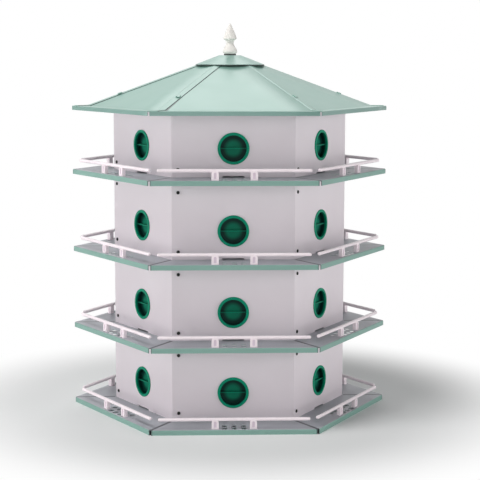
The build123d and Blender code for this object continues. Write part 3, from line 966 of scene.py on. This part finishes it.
@dataclass
class Roof:
    """Six lapped roof panels, the cap over their tops, its washer and the finial.

    Attributes:
        panels: names of the six panels.
    """

    panels: list[str] = field(default_factory=lambda: [f"roof_panel_{n + 1}" for n in range(SIDES)])

    def dress(self) -> None:
        """Give the roof's parts their finishes."""
        for panel in self.panels:
            give_finish(panel, ROOF_ENAMEL)
        give_finish("roof_cap", CAP_ENAMEL)
        give_finish("seal_washer", WASHER_RUBBER)
        give_finish("finial", FINIAL_PLASTIC)


@dataclass
class Storey:
    """One storey: its floor pan, walls, dividers, rails, wall screws and door plugs.

    Attributes:
        number: 1 for the bottom storey.
        screw_inset: distance from a wall corner to its screws.
        turn_per_side: degrees that a screw is turned on its axis past the same one on the last side.
        turn_per_metre: degrees that a screw is turned on its axis for each metre of its height.
        screw: the screw that holds the walls.
    """

    number: int
    screw_inset: float = 13.0 * MM
    turn_per_side: float = 37.0
    turn_per_metre: float = 1100.0
    screw: Fastener = field(
        default_factory=lambda: Fastener(
            head_radius=3.5 * MM,
            head_height=2.2 * MM,
            dome=0.35,
            shank_radius=1.75 * MM,
            length=7.0 * MM,
            pitch=1.4 * MM,
            depth=0.35 * MM,
            drive=Drive.CROSS,
            recess_width=0.9 * MM,
            recess_reach=2.0 * MM,
            recess_depth=1.2 * MM,
            columns=28,
        )
    )

    def screw_places(self) -> list[Matrix]:
        """Where the storey's screws stand: two up each wall corner, pointing into the wall.

        Returns:
            One placement for each screw.
        """
        low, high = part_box(f"wall_screws_{self.number}")
        wall_low, wall_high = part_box(f"wall_panels_{self.number}")
        apothem = (wall_high.y - wall_low.y) / 2
        half_side = apothem * math.tan(SECTOR / 2)
        levels = (low.z + self.screw.head_radius, high.z - self.screw.head_radius)
        places = []
        for side in range(SIDES):
            turn = Matrix.Rotation(side * SECTOR, 4, "Z")
            for level in levels:
                seat = Matrix.Translation((self.screw_inset - half_side, -apothem, level))
                tilt = Matrix.Rotation(math.radians(90), 4, "X")
                own = math.radians(self.turn_per_side * side + self.turn_per_metre * level)
                places.append(turn @ seat @ tilt @ Matrix.Rotation(own, 4, "Z"))
        return places

    def build(self) -> None:
        """Make the storey's wall screws."""
        name = f"wall_screws_{self.number}"
        piece = self.screw.build(f"cross_head_screws_{self.number}", self.screw_places(), BLACK_ZINC)
        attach(piece, "house")
        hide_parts(name)
        LOG.info("%s replaces %s", piece.name, name)

    def dress(self) -> None:
        """Give the storey's parts their finishes."""
        give_finish(f"floor_pan_{self.number}", FLOOR_ENAMEL)
        give_finish(f"wall_panels_{self.number}", WALL_ENAMEL)
        give_finish(f"room_dividers_{self.number}", DIVIDER_ALUMINIUM)
        give_finish(f"porch_rails_{self.number}", RAIL_PLASTIC)
        for side in range(SIDES):
            give_finish(f"door_plug_{self.number}_{side + 1}", PLUG_PLASTIC)


@dataclass
class Core:
    """The centre rod with its nut, and the pole socket with its bolts under the house.

    Attributes:
        bolt_count: number of bolts that hold the socket.
        bolt_circle_radius: distance from the axis to the bolts.
        bolt: the bolt.
    """

    bolt_count: int = 4
    bolt_circle_radius: float = 35.5 * MM
    bolt: Fastener = field(
        default_factory=lambda: Fastener(
            head_radius=4.5 * MM,
            head_height=2.8 * MM,
            dome=0.3,
            shank_radius=2.5 * MM,
            length=9.5 * MM,
            pitch=0.8 * MM,
            depth=0.4 * MM,
            drive=Drive.HEX_SOCKET,
            recess_width=3.0 * MM,
            recess_reach=1.5 * MM,
            recess_depth=1.6 * MM,
            shank_rows=38,
        )
    )

    def build(self) -> None:
        """Make the socket's bolts, heads down under the bottom floor."""
        low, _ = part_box("socket_bolts")
        seat = low.z + self.bolt.head_height
        places = []
        for number in range(self.bolt_count):
            angle = (number + 0.5) * 2 * math.pi / self.bolt_count
            x, y = self.bolt_circle_radius * math.cos(angle), self.bolt_circle_radius * math.sin(angle)
            places.append(Matrix.Translation((x, y, seat)) @ Matrix.Rotation(math.pi, 4, "X"))
        piece = self.bolt.build("socket_head_bolts", places, BRIGHT_ZINC)
        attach(piece, "house")
        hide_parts("socket_bolts")
        LOG.info("%s replaces socket_bolts", piece.name)

    def dress(self) -> None:
        """Give the core's parts their finishes."""
        give_finish("centre_rod", BRIGHT_ZINC)
        give_finish("rod_nut", BRIGHT_ZINC)
        give_finish("socket_nuts", BRIGHT_ZINC)
        give_finish("pole_socket", CAST_ALUMINIUM)


@dataclass
class Studio:
    """A pale floor, soft lamps and an even white surround.

    Attributes:
        floor_radius: reach of the floor round the house.
        floor_corners: number of the floor's corners.
        shadow_radius: distance from the axis up to which the floor shows its whole shadow.
        clear_radius: distance from the axis past which the floor shows plain white.
        surround: brightness of the surround as it lights the house.
        aim_height: height of the point that the lamps face.
    """

    floor_radius: float = 9.0
    floor_corners: int = 96
    shadow_radius: float = 0.42
    clear_radius: float = 0.75
    surround: float = 0.16
    aim_height: float = 0.42

    def floor(self) -> None:
        """Lay a round floor that takes the house's shadow and turns plain white away from it."""
        angle = np.linspace(0, 2 * np.pi, self.floor_corners, endpoint=False)
        ring = np.stack([np.cos(angle), np.sin(angle), np.zeros_like(angle)], axis=-1)
        mesh = bpy.data.meshes.new("studio_floor")
        mesh.from_pydata((ring * self.floor_radius).tolist(), [], [list(range(self.floor_corners))])
        floor = bpy.data.objects.new("studio_floor", mesh)
        bpy.context.scene.collection.objects.link(floor)
        made = bpy.data.materials.new("white_paper_floor")
        made.use_nodes = True
        tree = made.node_tree
        place = add_node(tree, "ShaderNodeTexCoord", output="Object")
        away = add_node(tree, "ShaderNodeVectorMath", [place], "Value", operation="LENGTH")
        reach = [away, self.shadow_radius, self.clear_radius]
        plain = add_node(tree, "ShaderNodeMapRange", reach, interpolation_type="SMOOTHSTEP")
        share = add_node(tree, "ShaderNodeMath", [seen_directly(tree), plain], operation="MULTIPLY")
        paper = add_node(tree, "ShaderNodeBsdfDiffuse", [linear("#F4F4F4")])
        glow = add_node(tree, "ShaderNodeEmission", [linear("#FFFFFF"), 1.0])
        mixed = add_node(tree, "ShaderNodeMixShader", [share, paper, glow])
        tree.links.new(mixed, tree.nodes["Material Output"].inputs["Surface"])
        mesh.materials.append(made)

    def world(self) -> None:
        """Surround the house with white that is seen and mirrored at full strength and lights it less."""
        world = bpy.data.worlds.new("white_surround")
        world.use_nodes = True
        tree = world.node_tree
        sky = tree.nodes["Background"]
        sky.inputs["Color"].default_value = linear("#FFFFFF")
        inputs = {"Value": seen_directly(tree), "To Min": self.surround, "To Max": 1.0}
        tree.links.new(add_node(tree, "ShaderNodeMapRange", inputs), sky.inputs["Strength"])
        bpy.context.scene.world = world

    def lamp(self, name: str, place: tuple[float, float, float], size: float, power: float) -> None:
        """Hang a square soft lamp that faces the middle of the house.

        Args:
            name: name of the lamp.
            place: its place, in metres.
            size: length of its sides.
            power: its power in watts.
        """
        light = bpy.data.lights.new(name, "AREA")
        light.size = size
        light.energy = power
        lamp = bpy.data.objects.new(name, light)
        aim = Vector((0, 0, self.aim_height)) - Vector(place)
        lamp.matrix_world = Matrix.Translation(place) @ aim.to_track_quat("-Z", "Y").to_matrix().to_4x4()
        bpy.context.scene.collection.objects.link(lamp)

    def build(self) -> None:
        """Set up the floor, the surround and the lamps."""
        self.floor()
        self.world()
        self.lamp("front_softbox", (-0.5, -4.2, 1.0), 2.0, 25)
        self.lamp("left_softbox", (-3.0, -0.8, 0.2), 1.6, 52)
        self.lamp("high_front_softbox", (-1.4, -1.2, 3.3), 1.4, 57)
        self.lamp("high_back_softbox", (0.0, 1.9, 3.1), 1.6, 21)
        self.lamp("right_softbox", (3.0, -1.1, 0.45), 1.6, 42)
        LOG.info("studio is lit")


def seen_directly(tree: bpy.types.NodeTree) -> Output:
    """Find out whether a ray comes from the camera, or from it by a mirror or through glass.

    Args:
        tree: node tree that asks.

    Returns:
        Output that is 1 for such a ray and 0 for light.
    """
    seen = add_node(tree, "ShaderNodeLightPath", output="Is Camera Ray")
    for name in ("Is Glossy Ray", "Is Transmission Ray"):
        mirrored = add_node(tree, "ShaderNodeLightPath", output=name)
        seen = add_node(tree, "ShaderNodeMath", [seen, mirrored], operation="MAXIMUM")
    return seen


@dataclass
class PhotoCamera:
    """The photograph's viewpoint, with the house kept straight in its frame.

    Attributes:
        place: the camera's place, in metres.
        heading: turn of its view from +Y towards +X, in degrees.
        dip: how far it looks down, in degrees.
        roll: turn of the camera about its view, in degrees.
        focal_pixels: focal length in pixels of the picture.
        picture_pixels: width of the picture in pixels.
        sensor_mm: width of the camera's sensor.
    """

    place: tuple[float, float, float] = (-0.10843, -3.17704, 0.77559)
    heading: float = 2.361
    dip: float = 7.443
    roll: float = 0.118
    focal_pixels: float = 1457.803
    picture_pixels: float = 480.0
    sensor_mm: float = 36.0

    def build(self) -> None:
        """Make the camera and look through it."""
        data = bpy.data.cameras.new("photo_camera")
        data.sensor_width = self.sensor_mm
        data.lens = self.focal_pixels / self.picture_pixels * self.sensor_mm
        camera = bpy.data.objects.new("photo_camera", data)
        level = Euler((math.radians(90 - self.dip), 0, -math.radians(self.heading))).to_matrix().to_4x4()
        tilt = Matrix.Rotation(math.radians(self.roll), 4, "Z")
        camera.matrix_world = Matrix.Translation(self.place) @ level @ tilt
        bpy.context.scene.collection.objects.link(camera)
        bpy.context.scene.camera = camera
        LOG.info("camera has a %.1f mm lens", data.lens)


def main() -> None:
    """Dress the whole house and set up the studio round it."""
    logging.basicConfig(level=logging.INFO, format="%(name)s: %(message)s")
    bpy.context.scene.view_settings.view_transform = "Standard"
    PhotoCamera().build()
    Studio().build()
    roof = Roof()
    roof.dress()
    for number in range(1, STOREYS + 1):
        storey = Storey(number)
        storey.build()
        storey.dress()
    core = Core()
    core.build()
    core.dress()


if __name__ == "__main__":
    main()
